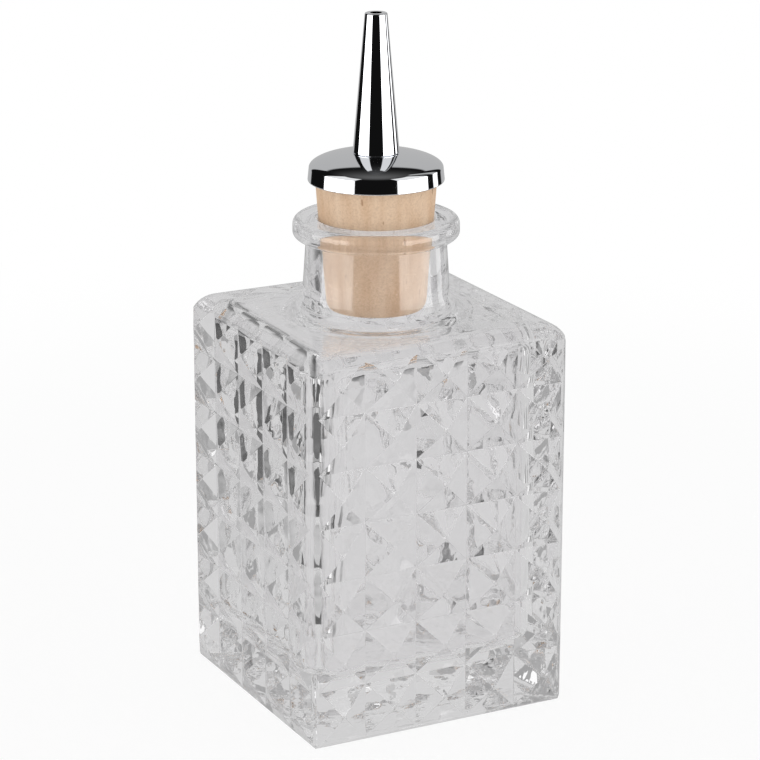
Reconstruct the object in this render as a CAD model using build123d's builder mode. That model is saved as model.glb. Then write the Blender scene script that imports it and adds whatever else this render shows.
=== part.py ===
"""Bitters bottle: a square pressed-glass flask with diamond points and a corked metal dasher top.

All lengths are in millimetres. The origin is the middle of the base, on the table, with +Z up.
The wide face of the photograph looks along -Y and the narrow one along -X.
"""

import os
from math import acos, cos, degrees, radians, sin

from build123d import *

os.makedirs("parts", exist_ok=True)

# Diamond points pressed into the four faces of the flask
diamond_columns = 5
diamond_rows = 7
diamond_width = 10.4
diamond_height = 10.4
diamond_relief = 2.0
diamond_blunting = 0.2
corner_radius = 1.5
foot_band = 0.8
foot_chamfer = 0.25

# Shoulder: the smooth flat top of the flask
shoulder_rise = 0.15
shoulder_radius = 5.0
shoulder_corner_radius = 6.0

# Hollow of the flask
side_wall = 4.2
base_thickness = 12.5
shoulder_thickness = 4.8
hollow_corner_radius = 6.0
hollow_floor_radius = 4.0
hollow_ceiling_radius = 5.0
push_up_radius = 18.0
push_up_depth = 0.8

# Neck and lip
neck_root_radius = 13.65
neck_top_radius = 13.03
neck_height = 13.75
neck_flare = 4.5
lip_overhang = 2.42
lip_height = 4.1
lip_edge_radius = 1.3
lip_belly = 2.7
mouth_bevel = 0.5
neck_wall = 2.78
mouth_wall = 2.25
bore_flare = 3.0

# Stopper: a tapered cork with a channel through it
cork_fit = 0.06
cork_taper = 0.0745
cork_exposed = 9.23
cork_length = 27.0
cork_edge = 0.4

# Metal cap over the cork
cap_cork_gap = 0.3
cap_skirt_wall = 0.9
cap_draft = 0.22
cap_skirt = 2.4
cap_dome = 3.0

# Pouring spout
spout_foot_radius = 4.29
spout_tip_radius = 2.08
spout_length = 25.85
spout_mouth_radius = 1.08
spout_tip_bevel = 0.3
spout_foot_edge = 0.2
spout_land = 0.15

# Stem tube that carries the bitters through the cork
stem_radius = 2.5
stem_bore_radius = 1.6
stem_fit = 0.03
stem_socket_depth = 3.0
stem_flare_radius = 3.8
stem_flare_height = 1.0
stem_flare_land = 0.4

# How far a cut runs past what it cuts
overrun = 1.0

# Places that follow from the sizes above
half_width = diamond_columns * diamond_width / 2
point_half_width = half_width + diamond_relief - diamond_blunting
pattern_top = foot_band + diamond_rows * diamond_height
shoulder_z = pattern_top + shoulder_rise
neck_top_z = shoulder_z + neck_height
lip_z = neck_top_z + lip_height
lip_radius = neck_top_radius + lip_overhang
bore_mouth_radius = neck_top_radius - mouth_wall
bore_root_radius = neck_top_radius - neck_wall
ceiling_z = shoulder_z - shoulder_thickness
cork_top_z = lip_z + cork_exposed
cork_foot_z = cork_top_z - cork_length


def cork_radius_at(height):
    """Radius of the tapered cork at a height above the table; it fits the mouth of the bore."""
    return bore_mouth_radius - cork_fit + (height - lip_z) * cork_taper


def zigzag(start, pitch, count, valley, crest):
    """Points of a row of ridges: (along, out) from the first valley to the last."""
    points = [(start, valley)]
    for step in range(count):
        points.append((start + (step + 1 / 2) * pitch, crest))
        points.append((start + (step + 1) * pitch, valley))
    return points


def plan_outline():
    """Star-edged square seen from above: one ridge for each column of diamonds."""
    crest = half_width + diamond_relief
    side = zigzag(-half_width, diamond_width, diamond_columns, half_width, crest)[:-1]
    outline = []
    for quarter in range(4):
        turn = radians(-90 * quarter)
        for along, out in side:
            outline.append((along * cos(turn) - out * sin(turn), along * sin(turn) + out * cos(turn)))
    return outline


def side_outline():
    """Outline seen from the side: one ridge for each row, a plain foot band and its bevel."""
    crest = half_width + diamond_relief
    rows = zigzag(foot_band, diamond_height, diamond_rows, half_width, crest)
    right = [(half_width - foot_chamfer, 0), (half_width, foot_chamfer)]
    right += [(out, height) for height, out in rows]
    right.append((half_width, shoulder_z))
    left = [(-out, height) for out, height in reversed(right)]
    return right + left


# Outer form that the shoulder and the blunt points keep inside
with BuildPart() as envelope:
    with BuildSketch():
        RectangleRounded(2 * point_half_width, 2 * point_half_width, shoulder_corner_radius)
    extrude(amount=shoulder_z)
    fillet(envelope.faces().sort_by(Axis.Z)[-1].edges(), radius=shoulder_radius)


# Hollow of the flask: a smooth rounded block
with BuildPart() as hollow:
    hollow_width = 2 * (half_width - side_wall)
    with BuildSketch(Plane.XY.offset(base_thickness)):
        RectangleRounded(hollow_width, hollow_width, hollow_corner_radius)
    extrude(amount=ceiling_z - base_thickness)
    fillet(hollow.faces().sort_by(Axis.Z)[0].edges(), radius=hollow_floor_radius)
    fillet(hollow.faces().sort_by(Axis.Z)[-1].edges(), radius=hollow_ceiling_radius)


# Glass flask
# The faces are three crossing sets of ridges, so each cell keeps the lower of two ridges: a pyramid
with BuildPart() as glass_bottle:
    with BuildSketch() as plan:
        with BuildLine():
            Polyline(*plan_outline(), close=True)
        make_face()
        fillet(plan.vertices().group_by(lambda v: v.X**2 + v.Y**2)[-1], radius=corner_radius)
    extrude(amount=shoulder_z)
    for face_plane in (Plane.XZ, Plane.YZ):
        with BuildSketch(face_plane):
            with BuildLine():
                Polyline(*side_outline(), close=True)
            make_face()
        extrude(amount=half_width + diamond_relief + overrun, both=True, mode=Mode.INTERSECT)

    # the smooth shoulder rounds off the top row and blunts every point
    add(envelope.part, mode=Mode.INTERSECT)

    # neck with a flared root and a rounded lip
    with BuildSketch(Plane.XZ):
        with BuildLine():
            flare_top = (neck_root_radius, shoulder_z + neck_flare)
            neck_top = (neck_top_radius, neck_top_z)
            lip_edge_z = lip_z - lip_edge_radius
            lip_belly_z = lip_z - lip_belly
            Polyline(
                (neck_root_radius + neck_flare, shoulder_z),
                (neck_root_radius + neck_flare, shoulder_z - overrun),
                (0, shoulder_z - overrun),
                (0, lip_z),
                (lip_radius - lip_edge_radius, lip_z),
            )
            RadiusArc((lip_radius - lip_edge_radius, lip_z), (lip_radius, lip_edge_z), lip_edge_radius)
            Line((lip_radius, lip_edge_z), (lip_radius, lip_belly_z))
            EllipticalCenterArc(
                center=(neck_top_radius, lip_belly_z),
                x_radius=lip_radius - neck_top_radius,
                y_radius=lip_belly_z - neck_top_z,
                start_angle=270,
                arc_size=90,
            )
            Line(neck_top, flare_top)
            RadiusArc(flare_top, (neck_root_radius + neck_flare, shoulder_z), -neck_flare)
        make_face()
    revolve(axis=Axis.Z)

    # hollow with a heavy base, then the bore up through the neck
    add(hollow.part, mode=Mode.SUBTRACT)
    with BuildSketch(Plane.XZ):
        with BuildLine():
            bore_root = (bore_root_radius, ceiling_z + bore_flare)
            flare_rim = (bore_root_radius + bore_flare, ceiling_z)
            mouth_foot = (bore_mouth_radius, lip_z - mouth_bevel)
            mouth_rim = (bore_mouth_radius + mouth_bevel, lip_z)
            Polyline(mouth_rim, (mouth_rim[0], lip_z + overrun), (0, lip_z + overrun))
            Polyline((0, lip_z + overrun), (0, ceiling_z - overrun), (flare_rim[0], ceiling_z - overrun))
            Line((flare_rim[0], ceiling_z - overrun), flare_rim)
            RadiusArc(flare_rim, bore_root, bore_flare)
            Polyline(bore_root, mouth_foot, mouth_rim)
        make_face()
    revolve(axis=Axis.Z, mode=Mode.SUBTRACT)

    # shallow dish under the base
    with BuildSketch(Plane.XZ):
        with BuildLine():
            Polyline((push_up_radius, 0), (0, 0), (0, push_up_depth))
            dish_radius = (push_up_radius**2 + push_up_depth**2) / (2 * push_up_depth)
            RadiusArc((0, push_up_depth), (push_up_radius, 0), dish_radius)
        make_face()
    revolve(axis=Axis.Z, mode=Mode.SUBTRACT)


# Cork stopper
with BuildPart() as cork_stopper:
    with BuildSketch(Plane.XZ):
        with BuildLine():
            foot_radius = cork_radius_at(cork_foot_z)
            Polyline(
                (stem_radius + stem_fit, cork_top_z),
                (stem_radius + stem_fit, cork_foot_z + stem_flare_land + stem_flare_height),
                (stem_flare_radius + stem_fit, cork_foot_z + stem_flare_land),
                (stem_flare_radius + stem_fit, cork_foot_z),
                (foot_radius - cork_edge, cork_foot_z),
                (foot_radius, cork_foot_z + cork_edge),
                (cork_radius_at(cork_top_z), cork_top_z),
                close=True,
            )
        make_face()
    revolve(axis=Axis.Z)


# Metal cap: a dome, flat in the middle and steep at the rim, on a short skirt, seated on the cork
with BuildPart() as dasher_cap:
    cap_radius = cork_radius_at(cork_top_z) + cap_cork_gap + cap_skirt_wall
    dome_radius = cap_radius - cap_draft
    spout_seat_radius = spout_foot_radius + spout_land
    spout_seat_z = cork_top_z + cap_dome * (1 - (spout_seat_radius / dome_radius) ** 2) ** 0.5
    with BuildSketch(Plane.XZ):
        with BuildLine():
            dome = EllipticalCenterArc(
                center=(0, cork_top_z),
                x_radius=dome_radius,
                y_radius=cap_dome,
                start_angle=0,
                arc_size=degrees(acos(spout_seat_radius / dome_radius)),
            )
            Polyline(
                dome @ 0,
                (cap_radius, cork_top_z - cap_skirt),
                (cap_radius - cap_skirt_wall, cork_top_z - cap_skirt),
                (cap_radius - cap_skirt_wall, cork_top_z),
                (stem_radius + stem_fit, cork_top_z),
                (stem_radius + stem_fit, spout_seat_z),
                dome @ 1,
            )
        make_face()
    revolve(axis=Axis.Z)


# Pouring spout: a turned cone with a socket for the stem and a small mouth
with BuildPart() as pour_spout:
    spout_tip_z = spout_seat_z + spout_length
    socket_top_z = spout_seat_z + stem_socket_depth
    with BuildSketch(Plane.XZ) as spout_profile:
        with BuildLine():
            Polyline(
                (stem_radius + stem_fit, spout_seat_z),
                (spout_foot_radius - spout_foot_edge, spout_seat_z),
                (spout_foot_radius, spout_seat_z + spout_foot_edge),
                (spout_tip_radius, spout_tip_z),
                (spout_mouth_radius, spout_tip_z),
                (stem_bore_radius, socket_top_z),
                (stem_radius + stem_fit, socket_top_z),
                close=True,
            )
        make_face()
        chamfer(spout_profile.vertices().group_by(Axis.Y)[-1].sort_by(Axis.X)[-1], length=spout_tip_bevel)
    revolve(axis=Axis.Z)


# Stem tube: runs from the spout down the cork and is flared into its foot
with BuildPart() as stem_tube:
    with BuildSketch(Plane.XZ):
        with BuildLine():
            Polyline(
                (stem_bore_radius, cork_foot_z),
                (stem_flare_radius, cork_foot_z),
                (stem_flare_radius, cork_foot_z + stem_flare_land),
                (stem_radius, cork_foot_z + stem_flare_land + stem_flare_height),
                (stem_radius, socket_top_z),
                (stem_bore_radius, socket_top_z),
                close=True,
            )
        make_face()
    revolve(axis=Axis.Z)


pieces = {
    "glass_bottle": glass_bottle,
    "cork_stopper": cork_stopper,
    "dasher_cap": dasher_cap,
    "pour_spout": pour_spout,
    "stem_tube": stem_tube,
}
for name, piece in pieces.items():
    piece.part.label = name
    export_step(piece.part, f"parts/{name}.step")
    size = piece.part.bounding_box().size
    print(f"{name}: {size.X:.2f} x {size.Y:.2f} x {size.Z:.2f} mm, {piece.part.volume:.0f} mm3")
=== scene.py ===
"""Bitters bottle dressed and lit: a pressed-glass flask with a corked and chromed dasher top.

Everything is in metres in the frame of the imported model, with +Z up and the base on the floor.
"""

import logging
from collections.abc import Callable
from dataclasses import dataclass
from enum import Enum
from math import acos, cos, degrees, radians, sin
from typing import Any, Union

import bmesh
import bpy
from mathutils import Color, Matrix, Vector


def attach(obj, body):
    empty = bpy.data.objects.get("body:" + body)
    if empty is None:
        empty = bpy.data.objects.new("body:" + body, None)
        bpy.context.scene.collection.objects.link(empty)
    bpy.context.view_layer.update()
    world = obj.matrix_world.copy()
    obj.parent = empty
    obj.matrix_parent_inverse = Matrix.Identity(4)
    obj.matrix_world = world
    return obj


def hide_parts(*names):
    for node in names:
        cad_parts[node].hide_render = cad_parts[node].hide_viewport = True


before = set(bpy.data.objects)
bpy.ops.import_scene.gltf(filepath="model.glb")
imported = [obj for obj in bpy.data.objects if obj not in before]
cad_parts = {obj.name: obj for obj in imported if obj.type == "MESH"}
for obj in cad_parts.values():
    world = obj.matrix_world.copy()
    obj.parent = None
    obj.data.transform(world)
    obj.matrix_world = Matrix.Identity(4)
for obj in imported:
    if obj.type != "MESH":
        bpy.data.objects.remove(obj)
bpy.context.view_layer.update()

Colour = tuple[float, float, float, float]
Place = tuple[float, float, float]
Ring = tuple[float, float]
Value = Union["Channel", float, tuple]

LOG = logging.getLogger("bitters_bottle")
MM = 0.001
WHITE: Colour = (1.0, 1.0, 1.0, 1.0)
ORIGIN: Place = (0.0, 0.0, 0.0)

# Corners of a mesh that are nearer than this are merged.
MERGE = 0.001 * MM

# Places that are nearer than this count as one.
TOUCH = 0.01 * MM

# A direction with more than this share of its length along an axis counts as straight along it.
STRAIGHT = 0.99

# Directions of a turned profile, in degrees from level outwards.
OUT = 0.0
UP = 90.0
DOWN = -90.0
IN = -180.0

# Turn of the photograph's camera about the upright axis, in degrees.
CAMERA_TURN = -27.219


def srgb(red: float, green: float, blue: float) -> Colour:
    """Turns a colour as it is seen on a screen, in steps of 255, into the values that shaders use.

    Args:
        red: Red from 0 to 255.
        green: Green from 0 to 255.
        blue: Blue from 0 to 255.

    Returns:
        Linear red, green and blue from 0 to 1, and an alpha of 1.
    """
    seen = Color((red / 255, green / 255, blue / 255))
    return (*seen.from_srgb_to_scene_linear(), 1.0)


class Channel:
    """One output of a shader node, used in plain expressions that add Math nodes."""

    def __init__(self, bench: "Bench", socket: bpy.types.NodeSocket | None) -> None:
        """Keeps the bench that the output belongs to, and the output itself."""
        self.bench = bench
        self.socket = socket

    def named(self, name: str) -> "Channel":
        """Gives another output of the same node, by its name."""
        return Channel(self.bench, self.socket.node.outputs[name])

    def _maths(self, operation: str, first: Value, second: Value) -> "Channel":
        """Adds a Math node for an operation on two values."""
        return self.bench.node("ShaderNodeMath", {"operation": operation}, {0: first, 1: second})

    def __add__(self, other: Value) -> "Channel":
        """This plus a value."""
        return self._maths("ADD", self, other)

    def __radd__(self, other: Value) -> "Channel":
        """A value plus this."""
        return self._maths("ADD", other, self)

    def __sub__(self, other: Value) -> "Channel":
        """This less a value."""
        return self._maths("SUBTRACT", self, other)

    def __rsub__(self, other: Value) -> "Channel":
        """A value less this."""
        return self._maths("SUBTRACT", other, self)

    def __mul__(self, other: Value) -> "Channel":
        """This times a value."""
        return self._maths("MULTIPLY", self, other)

    def __rmul__(self, other: Value) -> "Channel":
        """A value times this."""
        return self._maths("MULTIPLY", other, self)

    def __neg__(self) -> "Channel":
        """This with its sign turned."""
        return self._maths("MULTIPLY", self, -1.0)

    def __abs__(self) -> "Channel":
        """The size of this without its sign."""
        return self._maths("ABSOLUTE", self, 0.0)


class Bench:
    """The node tree of a material or of the world, with one method that adds any node."""

    def __init__(self, tree: bpy.types.NodeTree) -> None:
        """Empties the tree and keeps it."""
        self.tree = tree
        tree.nodes.clear()

    def node(
        self, kind: str, settings: dict[str, Any] | None = None, inputs: dict | None = None
    ) -> Channel:
        """Adds a node, with its settings set before its sockets.

        Args:
            kind: Type of the node.
            settings: Values of its properties, such as a Math node's operation.
            inputs: Values or channels for its sockets, by place, name or identifier.

        Returns:
            The node's first output that is in use.
        """
        made = self.tree.nodes.new(kind)
        for name, value in (settings or {}).items():
            setattr(made, name, value)
        for key, value in (inputs or {}).items():
            socket = self._socket(made, key)
            if isinstance(value, Channel):
                self.tree.links.new(value.socket, socket)
            else:
                socket.default_value = value
        shown = [output for output in made.outputs if output.enabled]
        return Channel(self, shown[0] if shown else None)

    @staticmethod
    def _socket(made: bpy.types.Node, key: int | str) -> bpy.types.NodeSocket:
        """Finds an input of a node.

        Args:
            made: The node.
            key: The input's place, its identifier or its name.

        Returns:
            The input.
        """
        if isinstance(key, int):
            return made.inputs[key]
        for socket in made.inputs:
            if key == socket.identifier:
                return socket
        return made.inputs[key]

    def mix(self, mask: Value, low: Value, high: Value) -> Channel:
        """Mixes two colours by a mask, from low at 0 to high at 1."""
        inputs = {"Factor_Float": mask, "A_Color": low, "B_Color": high}
        return self.node("ShaderNodeMix", {"data_type": "RGBA"}, inputs)

    def spread(
        self, value: Value, start: float, end: float, low: float = 0.0, high: float = 1.0
    ) -> Channel:
        """Runs a value smoothly from low to high while it goes from start to end."""
        inputs = {"Value": value, "From Min": start, "From Max": end, "To Min": low, "To Max": high}
        return self.node("ShaderNodeMapRange", {"interpolation_type": "SMOOTHSTEP"}, inputs)

    def place(self, stretch: float = 1.0) -> Channel:
        """Gives the place on the object in metres; a stretch under 1 draws patterns out upwards."""
        here = self.node("ShaderNodeTexCoord").named("Object")
        return self.node("ShaderNodeMapping", {}, {"Vector": here, "Scale": (1.0, 1.0, stretch)})

    def from_front(self, place: Channel) -> Channel:
        """Turns a place to face the photograph's camera.

        Args:
            place: A place or direction in the object's own frame.

        Returns:
            How far right it is, with how far away and how high as the outputs Y and Z.
        """
        turn = (0.0, 0.0, radians(-CAMERA_TURN))
        turned = self.node("ShaderNodeMapping", {}, {"Vector": place, "Rotation": turn})
        return self.node("ShaderNodeSeparateXYZ", {}, {"Vector": turned})

    def noise(
        self, place: Channel, per_metre: float, detail: float = 2.0, roughness: float = 0.5
    ) -> Channel:
        """Gives soft noise with a number of lumps to the metre."""
        inputs = {"Vector": place, "Scale": per_metre, "Detail": detail, "Roughness": roughness}
        return self.node("ShaderNodeTexNoise", {}, inputs)

    def bump(self, height: Channel, depth: float) -> Channel:
        """Turns a height from 0 to 1 into the normal of a relief of a depth in metres."""
        inputs = {"Height": height, "Distance": depth, "Strength": 1.0}
        return self.node("ShaderNodeBump", {}, inputs)

    def surface(self, inputs: dict[str, Value]) -> Channel:
        """Adds the general surface shader, with the values or channels of its sockets."""
        return self.node("ShaderNodeBsdfPrincipled", {}, inputs)

    def metal(self, colour: Colour, roughness: Channel, relief: Channel) -> Channel:
        """Adds the surface shader of a bare metal."""
        inputs = {"Base Color": colour, "Metallic": 1.0, "Roughness": roughness, "Normal": relief}
        return self.surface(inputs)


@dataclass(frozen=True)
class Finish:
    """A finish that dresses pieces; each kind says how it is shaded."""

    name: str

    def shade(self, bench: Bench) -> Channel:
        """Builds the nodes and gives the surface shader."""
        raise NotImplementedError

    def material(self) -> bpy.types.Material:
        """Makes the material of this finish once.

        Returns:
            The material, which is the one made before where there is one.
        """
        made = bpy.data.materials.get(self.name)
        if made is not None:
            return made
        made = bpy.data.materials.new(self.name)
        made.use_nodes = True
        bench = Bench(made.node_tree)
        bench.node("ShaderNodeOutputMaterial", {"is_active_output": True}, {"Surface": self.shade(bench)})
        return made

    def dress(self, piece: bpy.types.Object) -> None:
        """Puts the finish on every slot of a piece, or on a new slot where it has none.

        Args:
            piece: The piece to dress.
        """
        if not piece.material_slots:
            piece.data.materials.append(None)
        for slot in piece.material_slots:
            slot.material = self.material()


@dataclass(frozen=True)
class PressedGlass(Finish):
    """Clear pressed glass: waves from the mould on the faces, and a calmer shoulder and neck."""

    tint: Colour = (0.977, 0.972, 0.978, 1.0)
    ior: float = 1.52
    roughness: float = 0.0
    wave_per_metre: float = 120.0
    wave_detail: float = 1.0
    wave_depth: float = 0.12 * MM
    ripple_per_metre: float = 380.0
    ripple_share: float = 0.4
    calm_start: float = 70.0 * MM
    calm_end: float = 75.0 * MM
    calm_share: float = 0.15

    def shade(self, bench: Bench) -> Channel:
        """Builds clear glass over two sizes of gentle waves.

        Args:
            bench: The node tree of the material.

        Returns:
            The surface shader.
        """
        place = bench.place()
        waves = bench.noise(place, self.wave_per_metre, self.wave_detail)
        ripples = bench.noise(place, self.ripple_per_metre, self.wave_detail)
        waves = waves + self.ripple_share * ripples
        height = bench.node("ShaderNodeSeparateXYZ", {}, {"Vector": place}).named("Z")
        waves = waves * bench.spread(height, self.calm_start, self.calm_end, 1.0, self.calm_share)
        return bench.surface(
            {
                "Base Color": self.tint,
                "Roughness": self.roughness,
                "IOR": self.ior,
                "Transmission Weight": 1.0,
                "Normal": bench.bump(waves, self.wave_depth),
            }
        )


@dataclass(frozen=True)
class Cork(Finish):
    """Fine natural cork: pale tan with upright growth streaks and small dark pores."""

    pale: Colour = srgb(233, 205, 176)
    tan: Colour = srgb(218, 184, 151)
    dark: Colour = srgb(150, 105, 70)
    streak_stretch: float = 0.12
    streak_per_metre: float = 420.0
    tan_start: float = 0.3
    tan_end: float = 0.7
    grain_per_metre: float = 2600.0
    grain_start: float = 0.35
    grain_end: float = 0.75
    grain_share: float = 0.25
    grain_height: float = 0.5
    pore_stretch: float = 0.4
    pore_per_metre: float = 900.0
    pore_start: float = 0.68
    pore_end: float = 0.76
    pore_share: float = 0.6
    pore_depth: float = 0.05 * MM
    smooth_start: float = 0.2
    smooth_end: float = 0.8
    smoothest: float = 0.62
    roughest: float = 0.8

    def shade(self, bench: Bench) -> Channel:
        """Builds streaks, a fine grain and scattered pores.

        Args:
            bench: The node tree of the material.

        Returns:
            The surface shader.
        """
        streaks = bench.noise(bench.place(self.streak_stretch), self.streak_per_metre, detail=4.0)
        grain = bench.noise(bench.place(), self.grain_per_metre, detail=3.0, roughness=0.65)
        pores = bench.noise(bench.place(self.pore_stretch), self.pore_per_metre)
        pore_mask = bench.spread(pores, self.pore_start, self.pore_end)
        grain_mask = bench.spread(grain, self.grain_start, self.grain_end, 0.0, self.grain_share)
        body = bench.mix(bench.spread(streaks, self.tan_start, self.tan_end), self.pale, self.tan)
        body = bench.mix(grain_mask, body, self.dark)
        body = bench.mix(pore_mask * self.pore_share, body, self.dark)
        height = grain * self.grain_height - pore_mask
        gloss = bench.spread(streaks, self.smooth_start, self.smooth_end, self.smoothest, self.roughest)
        relief = bench.bump(height, self.pore_depth)
        return bench.surface({"Base Color": body, "Roughness": gloss, "Normal": relief})


@dataclass(frozen=True)
class Chrome(Finish):
    """Bright chrome plate with a faint haze where it has been wiped."""

    colour: Colour = (0.83, 0.84, 0.86, 1.0)
    haze_per_metre: float = 90.0
    haze_start: float = 0.3
    haze_end: float = 0.8
    clearest: float = 0.02
    haziest: float = 0.07
    ripple_per_metre: float = 160.0
    ripple_depth: float = 0.008 * MM

    def shade(self, bench: Bench) -> Channel:
        """Builds a mirror whose gloss changes a little from place to place.

        Args:
            bench: The node tree of the material.

        Returns:
            The surface shader.
        """
        haze = bench.noise(bench.place(), self.haze_per_metre, detail=5.0, roughness=0.7)
        ripple = bench.noise(bench.place(), self.ripple_per_metre, detail=1.0)
        roughness = bench.spread(haze, self.haze_start, self.haze_end, self.clearest, self.haziest)
        return bench.metal(self.colour, roughness, bench.bump(ripple, self.ripple_depth))


@dataclass(frozen=True)
class DrawnSteel(Finish):
    """Drawn stainless tube with fine lines along its length."""

    colour: Colour = (0.56, 0.57, 0.59, 1.0)
    line_stretch: float = 0.02
    line_per_metre: float = 5000.0
    line_start: float = 0.3
    line_end: float = 0.7
    line_depth: float = 0.01 * MM
    smoothest: float = 0.22
    roughest: float = 0.38

    def shade(self, bench: Bench) -> Channel:
        """Builds satin steel with draw lines along Z.

        Args:
            bench: The node tree of the material.

        Returns:
            The surface shader.
        """
        lines = bench.noise(bench.place(self.line_stretch), self.line_per_metre, detail=3.0)
        satin = bench.spread(lines, self.line_start, self.line_end, self.smoothest, self.roughest)
        return bench.metal(self.colour, satin, bench.bump(lines, self.line_depth))


@dataclass(frozen=True)
class FloorPaper(Finish):
    """Floor paper: white to the camera, grey to metal, and to glass a glowing strip of painted light with
    painted shade at its left end.
    """

    colour: Colour = srgb(240, 240, 240)
    in_metal: float = 0.35
    in_glass: float = 0.685
    # Painted shade: how dimly the unlit left end of the floor glows to glass.
    dark: float = 0.06
    painted_shade_end: float = -0.11
    painted_shade_fade: float = 0.05
    right_end: float = 0.3
    # Painted light: how much the floor's glow to glass falls off towards the right.
    painted_falloff: float = 0.08
    shadow: float = 0.1
    shadow_start: float = 0.15
    shadow_end: float = 0.32

    def shade(self, bench: Bench) -> Channel:
        """Builds paper that glows at set levels, with a painted falloff of light to the right and painted
        shade at the left end of what glass sees, and keeps a share of the object's shadow.

        Args:
            bench: The node tree of the material.

        Returns:
            The surface shader.
        """
        path = bench.node("ShaderNodeLightPath")
        camera = path.named("Is Camera Ray")
        glass = path.named("Is Transmission Ray")
        metal = path.named("Is Glossy Ray") * (1.0 - glass)
        place = bench.place()
        across = bench.from_front(place)
        # Painted light: the glow to glass falls off towards the right.
        far = self.in_glass - self.painted_falloff
        right = bench.spread(across, 0.0, self.right_end, self.in_glass, far)
        # Painted shade: past the left end, the glow to glass drops to the dark level where the floor is
        # unlit.
        left = bench.spread(across, self.painted_shade_end - self.painted_shade_fade, self.painted_shade_end + self.painted_shade_fade)
        strip = self.dark + left * (right - self.dark)
        strength = camera + glass * strip + metal * self.in_metal
        glow = bench.node("ShaderNodeEmission", {}, {"Color": WHITE, "Strength": strength})
        paper = bench.node("ShaderNodeBsdfDiffuse", {}, {"Color": self.colour})
        away = bench.node("ShaderNodeVectorMath", {"operation": "LENGTH"}, {0: place}).named("Value")
        shadow = bench.spread(away, self.shadow_start, self.shadow_end, self.shadow, 0.0)
        seen = (camera + glass + metal) * (1.0 - shadow)
        return bench.node("ShaderNodeMixShader", {}, {0: seen, 1: paper, 2: glow})


class Cut(Enum):
    """What one body does to another that it crosses."""

    TAKE_AWAY = "DIFFERENCE"
    ADD = "UNION"
    KEEP_INSIDE = "INTERSECT"


class Part(Enum):
    """Which parts of a mesh an operator works on."""

    EDGES = "EDGE"
    FACES = "FACE"


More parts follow.
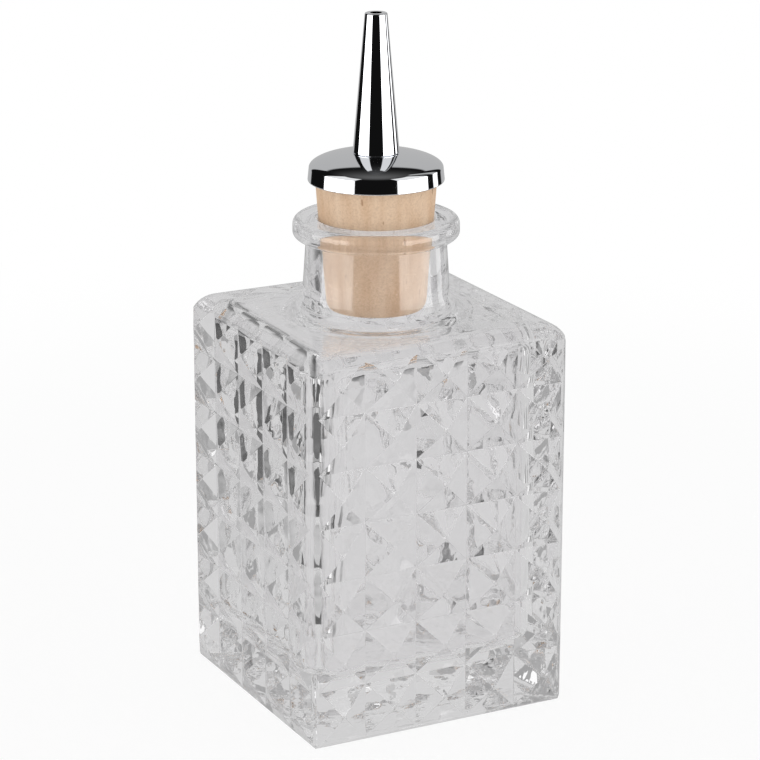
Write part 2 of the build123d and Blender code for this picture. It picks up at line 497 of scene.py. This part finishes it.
class Form:
    """A mesh that is shaped by hand tools: it is made from a primitive and stays at the origin."""

    def __init__(self, name: str) -> None:
        """Takes the primitive that was just added, and names it.

        Args:
            name: Name of the piece.
        """
        self.body = bpy.context.active_object
        self.body.name = name
        self.body.data.name = name
        bpy.ops.object.transform_apply(location=True, rotation=True, scale=True)

    @staticmethod
    def clear() -> None:
        """Leaves nothing selected, so that the next primitive is alone."""
        bpy.ops.object.select_all(action="DESELECT")

    def alone(self) -> None:
        """Selects this piece and nothing else."""
        self.clear()
        self.body.select_set(True)
        bpy.context.view_layer.objects.active = self.body

    @classmethod
    def block(cls, name: str, size: Place, middle: Place) -> "Form":
        """Starts from a box.

        Args:
            name: Name of the piece.
            size: Width along each axis.
            middle: Place of its centre.

        Returns:
            The box.
        """
        cls.clear()
        bpy.ops.mesh.primitive_cube_add(size=1.0, location=middle, scale=size)
        return cls(name)

    @classmethod
    def turned(cls, name: str, rings: list[Ring], sides: int, hollow: bool = False) -> "Form":
        """Turns a profile about Z, drawn out ring by ring.

        Args:
            name: Name of the piece.
            rings: Radius and height of each ring, in order along the profile.
            sides: How many sides each ring has.
            hollow: True where the last ring meets the first, False where flat caps close the ends.

        Returns:
            The turned body.
        """
        cls.clear()
        radius, height = rings[0]
        cap = "NOTHING" if hollow else "NGON"
        bpy.ops.mesh.primitive_circle_add(
            vertices=sides, radius=radius, location=(0.0, 0.0, height), fill_type=cap
        )
        made = cls(name)
        made.edit(Part.EDGES)
        bpy.ops.mesh.select_all(action="SELECT")
        path = rings[1:] + rings[:1] if hollow else rings[1:]
        for next_radius, next_height in path:
            bpy.ops.mesh.extrude_edges_move(
                TRANSFORM_OT_translate={"value": (0.0, 0.0, next_height - height)}
            )
            ratio = next_radius / radius
            bpy.ops.transform.resize(value=(ratio, ratio, 1.0), center_override=(0.0, 0.0, next_height))
            radius, height = next_radius, next_height
        if not hollow:
            bpy.ops.mesh.edge_face_add()
        made.close()
        return made

    def edit(self, part: Part) -> None:
        """Goes into edit mode.

        Args:
            part: Which parts of the mesh are to be worked on.
        """
        self.alone()
        bpy.ops.object.mode_set(mode="EDIT")
        bpy.ops.mesh.select_mode(type=part.value)

    def leave(self) -> None:
        """Goes back to object mode."""
        bpy.ops.object.mode_set(mode="OBJECT")

    def close(self) -> None:
        """Merges what lies on one spot, turns every face outwards and leaves edit mode."""
        bpy.ops.mesh.select_all(action="SELECT")
        bpy.ops.mesh.remove_doubles(threshold=MERGE)
        bpy.ops.mesh.normals_make_consistent(inside=False)
        self.leave()

    def pick(self, part: Part, test: Callable[[Any], bool]) -> None:
        """Selects the faces or edges that pass a test, in edit mode.

        Args:
            part: Whether the test is for faces or for edges.
            test: Says of a face or an edge whether it is wanted.
        """
        bpy.ops.mesh.select_all(action="DESELECT")
        mesh = bmesh.from_edit_mesh(self.body.data)
        for member in mesh.faces if part is Part.FACES else mesh.edges:
            member.select_set(test(member))
        bmesh.update_edit_mesh(self.body.data)

    def round_edges(
        self, test: Callable[[bmesh.types.BMEdge], bool], width: float, steps: int
    ) -> None:
        """Rounds the edges that pass a test.

        Args:
            test: Says of an edge whether it is rounded.
            width: How far the rounding reaches to each side of the edge.
            steps: How many strips the rounding has.
        """
        self.edit(Part.EDGES)
        self.pick(Part.EDGES, test)
        bpy.ops.mesh.bevel(offset=width, segments=steps, affect="EDGES", clamp_overlap=True)
        self.leave()

    def combine(self, other: "Form", cut: Cut) -> None:
        """Joins another body to this one or cuts this one with it, and uses the other up.

        Args:
            other: The other body.
            cut: Whether it is added, taken away, or keeps what is inside it.
        """
        meeting = self.body.modifiers.new("meeting", "BOOLEAN")
        meeting.operation = cut.value
        meeting.solver = "EXACT"
        meeting.object = other.body
        self.apply(meeting)
        bpy.data.objects.remove(other.body)

    def apply(self, modifier: bpy.types.Modifier) -> None:
        """Applies a modifier."""
        self.alone()
        bpy.ops.object.modifier_apply(modifier=modifier.name)

    def remesh(self, grain: float, settling: int) -> None:
        """Covers the body with an even mesh.

        Args:
            grain: How wide its faces are, in metres.
            settling: How many times it is smoothed.
        """
        even = self.body.modifiers.new("even", "REMESH")
        even.mode = "VOXEL"
        even.voxel_size = grain
        self.apply(even)
        settled = self.body.modifiers.new("settled", "SMOOTH")
        settled.iterations = settling
        self.apply(settled)

    def stretch(self, factor: float) -> None:
        """Stretches the piece upwards from the ground.

        Args:
            factor: How many times higher it becomes.
        """
        self.edit(Part.FACES)
        bpy.ops.mesh.select_all(action="SELECT")
        bpy.ops.transform.resize(value=(1.0, 1.0, factor), center_override=ORIGIN)
        self.leave()

    def wander(self, depth: float, length: float, share: Callable[[Vector], float]) -> None:
        """Moves the surface in and out by slow waves.

        Args:
            depth: How far the surface moves at most, in metres.
            length: How long a wave is, in metres.
            share: Says how much of the depth a place gets, from 0 to 1.
        """
        clouds = bpy.data.textures.new("waves", "CLOUDS")
        clouds.noise_scale = length
        clouds.noise_depth = 1
        loose = self.body.vertex_groups.new(name="loose")
        for spot in self.body.data.vertices:
            loose.add([spot.index], share(spot.co), "REPLACE")
        moved = self.body.modifiers.new("waves", "DISPLACE")
        moved.texture = clouds
        moved.strength = depth
        moved.mid_level = 0.5
        moved.texture_coords = "LOCAL"
        moved.vertex_group = loose.name
        self.apply(moved)
        self.body.vertex_groups.clear()

    def smooth(self, angle: float) -> None:
        """Shades the piece smoothly, except over edges sharper than an angle in degrees."""
        self.alone()
        bpy.ops.object.shade_smooth_by_angle(angle=radians(angle))

    def flatten_shading(self, test: Callable[[Vector], bool]) -> None:
        """Lets wide faces look flat, so that only the narrow strips of an edge look round.

        Args:
            test: Says which corners of the mesh it is for, by their place.
        """
        flat = self.body.vertex_groups.new(name="flat")
        flat.add([spot.index for spot in self.body.data.vertices if test(spot.co)], 1.0, "REPLACE")
        weighted = self.body.modifiers.new("weighted", "WEIGHTED_NORMAL")
        weighted.keep_sharp = True
        weighted.vertex_group = flat.name
        self.apply(weighted)
        self.body.vertex_groups.clear()

    def fit(self, finish: Finish, node: str, body: str, slot: str) -> None:
        """Dresses the finished piece and puts it in the place of a CAD node.

        Args:
            finish: What the piece is made of.
            node: The CAD node that it stands for.
            body: The CAD body that it moves with.
            slot: Not used.
        """
        finish.dress(self.body)
        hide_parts(node)
        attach(self.body, body)


def arc(middle: Ring, across: float, up: float, start: float, end: float, steps: int) -> list[Ring]:
    """Places rings along an arc of an ellipse.

    Args:
        middle: Radius and height of the arc's centre.
        across: Half width of the ellipse.
        up: Half height of the ellipse.
        start: Angle of the first ring in degrees, from level outwards.
        end: Angle of the last ring in degrees.
        steps: How many steps lie between them.

    Returns:
        The rings from start to end.
    """
    rings = []
    for step in range(steps + 1):
        angle = radians(start + (end - start) * step / steps)
        rings.append((middle[0] + across * cos(angle), middle[1] + up * sin(angle)))
    return rings


def slope(edge: bmesh.types.BMEdge) -> float:
    """Gives the angle between the two faces at an edge, and 0 where there aren't two."""
    return edge.calc_face_angle(0.0)


def upright(edge: bmesh.types.BMEdge) -> bool:
    """Says whether an edge stands upright."""
    first, last = edge.verts
    return abs(first.co.z - last.co.z) > STRAIGHT * edge.calc_length()


def at_height(edge: bmesh.types.BMEdge, height: float) -> bool:
    """Says whether both ends of an edge lie at a height."""
    return all(abs(corner.co.z - height) < TOUCH for corner in edge.verts)


@dataclass
class Flask:
    """The pressed-glass flask: diamond points, shoulder, neck, lip, and a hollow with a heavy base."""

    columns: int = 5
    rows: int = 7
    pitch: float = 10.4 * MM
    relief: float = 2.0 * MM
    blunting: float = 0.2 * MM
    edge_round: float = 0.3 * MM
    corner_round: float = 1.2 * MM
    foot_band: float = 0.8 * MM
    foot_bevel: float = 0.5 * MM
    shoulder_rise: float = 0.15 * MM
    shoulder_radius: float = 5.0 * MM
    plan_radius: float = 6.0 * MM
    side_wall: float = 4.2 * MM
    base: float = 12.5 * MM
    ceiling: float = 2.8 * MM
    hollow_corner: float = 3.5 * MM
    hollow_floor: float = 2.0 * MM
    hollow_ceiling: float = 1.8 * MM
    neck_root: float = 13.65 * MM
    neck_top: float = 13.03 * MM
    neck_height: float = 13.75 * MM
    neck_flare: float = 4.5 * MM
    lip_reach: float = 2.42 * MM
    lip_height: float = 4.1 * MM
    lip_edge: float = 1.3 * MM
    lip_belly: float = 2.7 * MM
    mouth_bevel: float = 0.5 * MM
    neck_wall: float = 2.78 * MM
    mouth_wall: float = 2.25 * MM
    bore_flare: float = 3.0 * MM
    dish_radius: float = 18.0 * MM
    dish_depth: float = 0.8 * MM
    overrun: float = 1.0 * MM
    wave_depth: float = 0.8 * MM
    wave_length: float = 9.0 * MM
    wave_stretch: float = 2.2
    wave_grain: float = 0.8 * MM
    wave_settling: int = 4
    calm_height: float = 8.0 * MM
    calm_share: float = 0.2
    dish_end: float = 89.7
    edge_slope: float = 25.0
    crease: float = 35.0
    edge_steps: int = 3
    floor_steps: int = 6
    bend_steps: int = 8
    curve_steps: int = 10
    wide_steps: int = 12
    sides: int = 128

    def __post_init__(self) -> None:
        """Works out the places that follow from the sizes."""
        self.half = self.columns * self.pitch / 2
        self.top = self.foot_band + self.rows * self.pitch
        self.shoulder = self.top + self.shoulder_rise
        self.neck_end = self.shoulder + self.neck_height
        self.lip_top = self.neck_end + self.lip_height
        self.ceiling_height = self.shoulder - self.ceiling
        self.mouth = self.neck_top - self.mouth_wall

    def build(self, finish: Finish) -> Form:
        """Models the flask and puts it in its place.

        Args:
            finish: The glass.

        Returns:
            The finished flask.
        """
        flask = self.diamond_block()
        flask.combine(self.rounded_form(), Cut.KEEP_INSIDE)
        flask.combine(self.neck(), Cut.ADD)
        flask.combine(self.hollow(), Cut.TAKE_AWAY)
        flask.combine(self.bore(), Cut.TAKE_AWAY)
        flask.combine(self.dish(), Cut.TAKE_AWAY)
        flask.smooth(self.crease)
        flask.flatten_shading(self.is_outside)
        flask.fit(finish, "glass_bottle", "bottle", "clear_glass")
        return flask

    def diamond_block(self) -> Form:
        """Models the square block with its rows of diamond points and its plain foot.

        Returns:
            The block, with its points blunted and its edges rounded.
        """
        height = self.rows * self.pitch
        size = (2 * self.half, 2 * self.half, height)
        flask = Form.block("pressed_flask", size, (0.0, 0.0, self.foot_band + height / 2))
        flask.edit(Part.FACES)
        for step in range(1, self.columns):
            place = -self.half + step * self.pitch
            self.slice(place, (1.0, 0.0, 0.0))
            self.slice(place, (0.0, 1.0, 0.0))
        for step in range(1, self.rows):
            self.slice(self.foot_band + step * self.pitch, (0.0, 0.0, 1.0))
        flask.pick(Part.FACES, lambda face: abs(face.normal.z) < STRAIGHT)
        bpy.ops.mesh.poke(offset=self.relief, use_relative_offset=False)
        for way, reach in ((1.0, self.shoulder_rise), (-1.0, self.foot_band - self.foot_bevel)):
            flask.pick(Part.FACES, lambda face: face.normal.z * way > STRAIGHT)
            bpy.ops.mesh.dissolve_faces()
            self.draw_out(way * reach)
        share = 1 - self.foot_bevel / self.half
        self.draw_out(-self.foot_bevel)
        bpy.ops.transform.resize(value=(share, share, 1.0), center_override=ORIGIN)
        self.blunt()
        flask.close()
        flask.round_edges(self.is_corner, self.corner_round, self.edge_steps)
        steep = radians(self.edge_slope)
        flask.round_edges(lambda edge: slope(edge) > steep, self.edge_round, self.edge_steps)
        return flask

    @staticmethod
    def draw_out(rise: float) -> None:
        """Extrudes the chosen faces upwards, or down where the rise is negative."""
        bpy.ops.mesh.extrude_region_move(TRANSFORM_OT_translate={"value": (0.0, 0.0, rise)})

    @staticmethod
    def slice(place: float, along: Place, cut_off: bool = False) -> None:
        """Cuts the whole mesh across.

        Args:
            place: Where the cut is along its axis.
            along: The axis, which points to the outer side.
            cut_off: True where the outer side goes and the cut is closed.
        """
        bpy.ops.mesh.select_all(action="SELECT")
        point = tuple(place * share for share in along)
        bpy.ops.mesh.bisect(
            plane_co=point, plane_no=along, use_fill=cut_off, clear_outer=cut_off
        )

    def blunt(self) -> None:
        """Cuts the tips off the points, as the mould leaves them."""
        reach = self.half + self.relief - self.blunting
        for along in ((1.0, 0.0, 0.0), (-1.0, 0.0, 0.0), (0.0, 1.0, 0.0), (0.0, -1.0, 0.0)):
            self.slice(reach, along, cut_off=True)

    def is_corner(self, edge: bmesh.types.BMEdge) -> bool:
        """Says whether an edge is one of the four upright corners of the block."""
        places = [place for spot in edge.verts for place in (spot.co.x, spot.co.y)]
        return upright(edge) and all(abs(abs(place) - self.half) < TOUCH for place in places)

    def is_outside(self, spot: Vector) -> bool:
        """Says whether a place is on the faces or the shoulder, and not on a wall of the hollow."""
        on_face = max(abs(spot.x), abs(spot.y)) > self.half - self.edge_round
        return on_face or spot.z > self.shoulder - TOUCH

    def rounded_form(self) -> Form:
        """Models the smooth form that the shoulder and the blunt points keep inside.

        Returns:
            A block with rounded upright edges and a rounded upper edge.
        """
        width = 2 * (self.half + self.relief - self.blunting)
        size = (width, width, self.shoulder + self.overrun)
        middle = (0.0, 0.0, (self.shoulder - self.overrun) / 2)
        form = Form.block("shoulder_form", size, middle)
        form.round_edges(upright, self.plan_radius, self.wide_steps)
        self.round_rim(form, self.shoulder, self.shoulder_radius, self.wide_steps)
        return form

    @staticmethod
    def round_rim(form: Form, height: float, radius: float, steps: int) -> None:
        """Rounds the edges of a form that lie at a height."""
        form.round_edges(lambda edge: at_height(edge, height), radius, steps)

    def neck(self) -> Form:
        """Models the solid neck with its flared root and the rounded lip.

        Returns:
            The neck, whose foot reaches into the block.
        """
        lip = self.neck_top + self.lip_reach
        belly = self.lip_top - self.lip_belly
        flare = self.neck_root + self.neck_flare
        lip_drop = belly - self.neck_end
        flare_middle = (flare, self.shoulder + self.neck_flare)
        edge_middle = (lip - self.lip_edge, self.lip_top - self.lip_edge)
        rings = [(flare, self.shoulder - self.overrun)]
        rings += arc(flare_middle, self.neck_flare, self.neck_flare, DOWN, IN, self.wide_steps)
        rings += arc((self.neck_top, belly), self.lip_reach, lip_drop, DOWN, OUT, self.curve_steps)
        rings += arc(edge_middle, self.lip_edge, self.lip_edge, OUT, UP, self.bend_steps)
        return Form.turned("neck", rings, self.sides)

    def hollow(self) -> Form:
        """Models the hollow: a rounded block whose walls wander a little, as blown glass does.

        The block is squashed while it gets its waves, so that they are drawn out upwards.

        Returns:
            The form that is taken out of the glass.
        """
        width = 2 * (self.half - self.side_wall)
        size = (width, width, self.ceiling_height - self.base)
        form = Form.block("hollow", size, (0.0, 0.0, (self.ceiling_height + self.base) / 2))
        form.round_edges(upright, self.hollow_corner, self.bend_steps)
        self.round_rim(form, self.base, self.hollow_floor, self.floor_steps)
        self.round_rim(form, self.ceiling_height, self.hollow_ceiling, self.bend_steps)
        form.remesh(self.wave_grain, self.wave_settling)
        form.stretch(1.0 / self.wave_stretch)
        form.wander(self.wave_depth, self.wave_length, self.looseness)
        form.stretch(self.wave_stretch)
        return form

    def looseness(self, spot: Vector) -> float:
        """Says how much a place on the hollow's wall wanders: the ceiling is calmer than the walls."""
        below = (self.ceiling_height - spot.z * self.wave_stretch) / self.calm_height
        return self.calm_share + (1 - self.calm_share) * min(1.0, max(0.0, below))

    def bore(self) -> Form:
        """Models the bore of the neck, from its flared foot to the bevel at the mouth.

        Returns:
            The form that is taken out of the neck.
        """
        floor = self.ceiling_height
        flare = self.neck_top - self.neck_wall + self.bore_flare
        flare_middle = (flare, floor + self.bore_flare)
        rim = self.mouth + self.mouth_bevel
        rings = [(flare, floor - self.overrun)]
        rings += arc(flare_middle, self.bore_flare, self.bore_flare, DOWN, IN, self.bend_steps)
        rings += [(self.mouth, self.lip_top - self.mouth_bevel)]
        rings += [(rim, self.lip_top), (rim, self.lip_top + self.overrun)]
        return Form.turned("bore", rings, self.sides)

    def dish(self) -> Form:
        """Models the shallow dish under the base.

        Returns:
            The cap of a ball that is taken out of the base.
        """
        ball = (self.dish_radius**2 + self.dish_depth**2) / (2 * self.dish_depth)
        start = degrees(acos((self.dish_radius + self.overrun) / ball))
        middle = (0.0, self.dish_depth - ball)
        rings = arc(middle, ball, ball, start, self.dish_end, self.curve_steps)
        return Form.turned("dish", rings, self.sides)


@dataclass
class Stopper:
    """The stopper: a tapered cork, a domed cap, a pouring spout and the tube that joins them."""

    lip_top: float
    mouth: float
    cork_fit: float = 0.06 * MM
    cork_taper: float = 0.0745
    cork_exposed: float = 9.23 * MM
    cork_length: float = 27.0 * MM
    cork_edge: float = 0.4 * MM
    cap_gap: float = 0.3 * MM
    cap_wall: float = 0.9 * MM
    cap_draft: float = 0.22 * MM
    cap_skirt: float = 2.4 * MM
    cap_dome: float = 3.0 * MM
    cap_rim_round: float = 0.25 * MM
    spout_foot: float = 4.29 * MM
    spout_tip: float = 2.08 * MM
    spout_length: float = 25.85 * MM
    spout_mouth: float = 1.08 * MM
    spout_round: float = 0.25 * MM
    spout_land: float = 0.15 * MM
    stem: float = 2.5 * MM
    stem_bore: float = 1.6 * MM
    stem_fit: float = 0.03 * MM
    socket: float = 3.0 * MM
    flare: float = 3.8 * MM
    flare_height: float = 1.0 * MM
    flare_land: float = 0.4 * MM
    tip_start: float = 5.0
    crease: float = 38.0
    edge_steps: int = 5
    dome_steps: int = 32
    sides: int = 128

    def __post_init__(self) -> None:
        """Works out the places that follow from the sizes."""
        self.top = self.lip_top + self.cork_exposed
        self.foot = self.top - self.cork_length
        self.hole = self.stem + self.stem_fit
        self.cap = self.cork_radius(self.top) + self.cap_gap + self.cap_wall
        self.dome = self.cap - self.cap_draft
        self.seat = self.spout_foot + self.spout_land
        self.seat_height = self.top + self.cap_dome * (1 - (self.seat / self.dome) ** 2) ** 0.5
        self.socket_top = self.seat_height + self.socket

    def cork_radius(self, height: float) -> float:
        """Gives the radius of the tapered cork at a height."""
        return self.mouth - self.cork_fit + (height - self.lip_top) * self.cork_taper

    def build(self, cork: Finish, chrome: Finish, steel: Finish) -> list[Form]:
        """Models the four pieces and puts them in their places.

        Args:
            cork: The cork.
            chrome: The plate of the cap and the spout.
            steel: The steel of the stem.

        Returns:
            The finished pieces.
        """
        return [
            self.put("turned_cork", self.cork_rings(), cork, "cork_stopper", "cork"),
            self.put("domed_cap", self.cap_rings(), chrome, "dasher_cap", "cap_chrome"),
            self.put("spout_cone", self.spout_rings(), chrome, "pour_spout", "spout_chrome"),
            self.put("flared_stem", self.stem_rings(), steel, "stem_tube", "stem_steel"),
        ]

    def put(self, name: str, rings: list[Ring], finish: Finish, node: str, slot: str) -> Form:
        """Turns one piece and puts it in the place of its CAD node.

        Args:
            name: Name of the piece.
            rings: Its profile, as a closed loop.
            finish: What it is made of.
            node: The CAD node that it stands for.
            slot: The material slot of the record that its finish belongs to.

        Returns:
            The finished piece.
        """
        piece = Form.turned(name, rings, self.sides, hollow=True)
        piece.smooth(self.crease)
        piece.flatten_shading(lambda spot: True)
        piece.fit(finish, node, "stopper", slot)
        return piece

    def cork_rings(self) -> list[Ring]:
        """Gives the profile of the cork, with its channel and the recess in its foot.

        Returns:
            Its rings, as a closed loop.
        """
        recess = self.flare + self.stem_fit
        ledge = self.foot + self.flare_land
        turn = self.cork_edge
        edge_middle = (self.cork_radius(self.foot) - turn, self.foot + turn)
        rings = [(self.hole, self.top), (self.hole, ledge + self.flare_height)]
        rings += [(recess, ledge), (recess, self.foot)]
        rings += arc(edge_middle, turn, turn, DOWN, OUT, self.edge_steps)
        return rings + [(self.cork_radius(self.top), self.top)]

    def cap_rings(self) -> list[Ring]:
        """Gives the profile of the cap: a short skirt under a dome that is flat in the middle.

        Returns:
            Its rings, as a closed loop.
        """
        inside = self.cap - self.cap_wall
        rim = self.top - self.cap_skirt
        turn = self.cap_rim_round
        rings = [(self.hole, self.top), (inside, self.top), (inside, rim)]
        rings += arc((self.cap - turn, rim + turn), turn, turn, DOWN, OUT, self.edge_steps)
        end = degrees(acos(self.seat / self.dome))
        rings += arc((0.0, self.top), self.dome, self.cap_dome, OUT, end, self.dome_steps)
        return rings + [(self.hole, self.seat_height)]

    def spout_rings(self) -> list[Ring]:
        """Gives the profile of the spout: a cone with a socket below and a small mouth above.

        Returns:
            Its rings, as a closed loop.
        """
        tip = self.seat_height + self.spout_length
        turn = self.spout_round
        foot_middle = (self.spout_foot - turn, self.seat_height + turn)
        tip_middle = (self.spout_tip - turn, tip - turn)
        rings = [(self.hole, self.socket_top), (self.hole, self.seat_height)]
        rings += arc(foot_middle, turn, turn, DOWN, OUT, self.edge_steps)
        rings += arc(tip_middle, turn, turn, self.tip_start, UP, self.edge_steps)
        return rings + [(self.spout_mouth, tip), (self.stem_bore, self.socket_top)]

    def stem_rings(self) -> list[Ring]:
        """Gives the profile of the tube, flared into the foot of the cork.

        Returns:
            Its rings, as a closed loop.
        """
        ledge = self.foot + self.flare_land
        rings = [(self.stem_bore, self.foot), (self.flare, self.foot), (self.flare, ledge)]
        rings += [(self.stem, ledge + self.flare_height), (self.stem, self.socket_top)]
        return rings + [(self.stem_bore, self.socket_top)]


@dataclass
class Camera:
    """The camera of the photograph, in the frame of the object."""

    place: Place = (-0.25308, -0.49359, 0.23302)
    turn: float = CAMERA_TURN
    look_down: float = 17.335
    focal_pixels: float = 3100.1
    picture_pixels: float = 760.0
    sensor: float = 36.0

    def build(self) -> None:
        """Makes the camera and gives it to the scene."""
        data = bpy.data.cameras.new("photo_camera")
        data.sensor_width = self.sensor
        data.lens = self.focal_pixels / self.picture_pixels * self.sensor
        data.clip_start = 0.01
        camera = bpy.data.objects.new("photo_camera", data)
        camera.location = self.place
        camera.rotation_euler = (radians(UP - self.look_down), 0.0, radians(self.turn))
        bpy.context.scene.collection.objects.link(camera)
        bpy.context.scene.camera = camera


@dataclass(frozen=True)
class Levels:
    """How bright the parts of the surroundings are, where 1 is white, and how high the backdrop goes."""

    box: float
    backdrop: float
    backdrop_top: float
    ceiling: float
    dark: float


@dataclass
class Studio:
    """A pale floor and the soft boxes round it, set out from the photograph's side of the object.

    Angles are in degrees: sideways from straight towards the camera, and upwards from level.
    """

    box_start: float = 37.0
    box_end: float = 96.0
    box_foot: float = -30.0
    box_middle: float = 10.0
    box_top: float = 60.0
    box_top_share: float = 0.25
    sliver_start: float = 112.0
    sliver_end: float = 126.0
    sliver_share: float = 0.5
    backdrop_start: float = 142.0
    in_metal: Levels = Levels(box=3.6, backdrop=0.5, backdrop_top=41.0, ceiling=0.12, dark=0.006)
    in_glass: Levels = Levels(box=0.7, backdrop=0.31, backdrop_top=80.0, ceiling=0.2, dark=0.36)
    fill_level: float = 1.2
    fill_in_glass: float = 1.35
    fill_even: float = 0.64
    fill_box: float = 0.9
    soft_edge: float = 2.0
    bounces: int = 32
    floor_radius: float = 0.36
    floor_sides: int = 96
    air_gap: float = 0.1 * MM

    def build(self) -> None:
        """Makes the world, the floor and the view settings."""
        bpy.context.scene.view_settings.view_transform = "Standard"
        light_paths = bpy.context.scene.cycles
        light_paths.max_bounces = self.bounces
        light_paths.glossy_bounces = self.bounces
        light_paths.transmission_bounces = self.bounces
        self.build_world()
        self.build_floor()

    def build_world(self) -> None:
        """Makes the surroundings: white to the camera, soft boxes and dark gaps to metal and glass.

        Light for matt surfaces is an even fill with more from the boxes, and it is stronger where it
        comes through glass.
        """
        world = bpy.data.worlds.new("studio")
        bpy.context.scene.world = world
        world.use_nodes = True
        bench = Bench(world.node_tree)
        across = bench.from_front(bench.node("ShaderNodeTexCoord").named("Generated"))
        toward = -across.named("Y")
        right = bench.node("ShaderNodeMath", {"operation": "ARCTAN2"}, {0: across, 1: toward})
        height = bench.node("ShaderNodeMath", {"operation": "ARCSINE"}, {0: across.named("Z")})
        box = self.boxes(bench, right, height)
        back = self.past(bench, abs(right), self.backdrop_start)
        metal = self.pattern(bench, self.in_metal, box, back, height)
        glass = self.pattern(bench, self.in_glass, box, back, height)
        path = bench.node("ShaderNodeLightPath")
        through = path.named("Is Transmission Ray")
        pattern = metal * (1.0 - through) + glass * through
        depth = path.named("Diffuse Depth")
        lit = bench.node("ShaderNodeMath", {"operation": "MINIMUM"}, {0: depth, 1: 1.0})
        fill = (self.fill_level + through * self.fill_in_glass) * (self.fill_even + box * self.fill_box)
        level = pattern * (1.0 - lit) + fill * lit
        seen = path.named("Is Camera Ray")
        strength = seen + (1.0 - seen) * level
        glow = bench.node("ShaderNodeBackground", {}, {"Color": WHITE, "Strength": strength})
        bench.node("ShaderNodeOutputWorld", {}, {"Surface": glow})

    def boxes(self, bench: Bench, right: Channel, height: Channel) -> Channel:
        """Sets a soft box on each side of the object and a thin, dimmer one behind it on the right.

        Args:
            bench: The node tree of the world.
            right: Angle to the right of straight towards the camera, in radians.
            height: Angle above level, in radians.

        Returns:
            How much of a box's light comes from each direction.
        """
        wide = self.window(bench, abs(right), self.box_start, self.box_end)
        thin = self.window(bench, right, self.sliver_start, self.sliver_end)
        fade = self.past(bench, height, self.box_middle) * (1.0 - self.box_top_share)
        tall = self.window(bench, height, self.box_foot, self.box_top) * (1.0 - fade)
        return (wide + thin * self.sliver_share) * tall

    def pattern(
        self, bench: Bench, levels: Levels, box: Channel, back: Channel, height: Channel
    ) -> Channel:
        """Sets the boxes, the backdrop and the ceiling at their levels over the dark of the room.

        Args:
            bench: The node tree of the world.
            levels: How bright each of them is.
            box: Where the soft boxes are.
            back: Where the backdrop is, whatever the height.
            height: Angle above level, in radians.

        Returns:
            How bright the surroundings are in each direction.
        """
        low = 1.0 - self.past(bench, height, levels.backdrop_top)
        ceiling = bench.spread(height, radians(levels.backdrop_top), radians(UP))
        return box * levels.box + back * low * levels.backdrop + ceiling * levels.ceiling + levels.dark

    def past(self, bench: Bench, angle: Channel, limit: float) -> Channel:
        """Gives 1 past an angle in degrees and 0 before it, with a soft edge."""
        return bench.spread(angle, radians(limit - self.soft_edge), radians(limit + self.soft_edge))

    def window(self, bench: Bench, angle: Channel, start: float, end: float) -> Channel:
        """Gives 1 between two angles in degrees, with soft edges, and 0 outside them."""
        return self.past(bench, angle, start) * (1.0 - self.past(bench, angle, end))

    def build_floor(self) -> None:
        """Makes the round floor, which shows white and keeps the object's shadow."""
        Form.clear()
        under = (0.0, 0.0, -self.air_gap)
        bpy.ops.mesh.primitive_circle_add(
            vertices=self.floor_sides, radius=self.floor_radius, location=under, fill_type="NGON"
        )
        floor = bpy.context.active_object
        floor.name = "floor"
        FloorPaper("floor_paper").dress(floor)


def main() -> None:
    """Builds the bottle's pieces in order, then the studio and the camera."""
    logging.basicConfig(level=logging.INFO, format="%(name)s: %(message)s")
    flask = Flask()
    stopper = Stopper(lip_top=flask.lip_top, mouth=flask.mouth)
    pieces = [flask.build(PressedGlass("pressed_glass"))]
    pieces += stopper.build(Cork("fine_cork"), Chrome("chrome_plate"), DrawnSteel("drawn_steel"))
    for piece in pieces:
        mesh = piece.body.data
        LOG.info("%s: %d faces in %s", mesh.name, len(mesh.polygons), mesh.materials[0].name)
    Studio().build()
    Camera().build()


if __name__ == "__main__":
    main()
